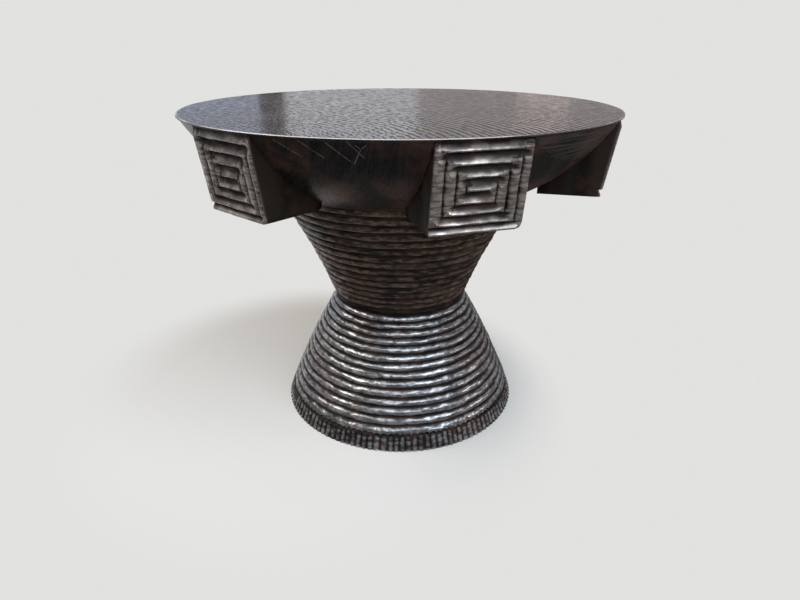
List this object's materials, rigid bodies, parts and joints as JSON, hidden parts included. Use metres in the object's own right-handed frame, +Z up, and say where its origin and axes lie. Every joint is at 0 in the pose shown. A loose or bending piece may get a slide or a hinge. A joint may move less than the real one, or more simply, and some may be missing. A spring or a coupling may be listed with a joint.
{
  "type": "carved drum table",
  "caption": "Round carved wooden side table: a thick bowl-shaped top with square spiral-carved blocks on an hourglass drum base with ridged cones and a fluted foot.",
  "frame": {"origin": "on the floor, on the axis of the round top", "axes": "+Z up; the face of lug block 1 points along -Y, and the blocks are numbered anticlockwise from it, seen from above"},
  "size_m": [0.6, 0.6, 0.46],
  "materials": {
    "top_wood": "dark espresso stain under a semi-gloss lacquer",
    "lug_wood": "dark espresso stain, carved, worn lighter on the ridges",
    "drum_wood": "dark espresso stain, hand-cut ridges, satin lacquer",
    "joint_wood": "bare hardwood, glued in"
  },
  "bodies": {
    "root": {"table_top": "top_wood", "lug_block_1": "lug_wood", "lug_block_2": "lug_wood", "lug_block_3": "lug_wood", "lug_block_4": "lug_wood", "lug_block_5": "lug_wood", "lug_block_6": "lug_wood", "lug_tongues": "joint_wood", "drum_upper": "drum_wood", "drum_lower": "drum_wood", "waist_tenon": "joint_wood", "top_tenon": "joint_wood"}
  },
  "joints": []
}
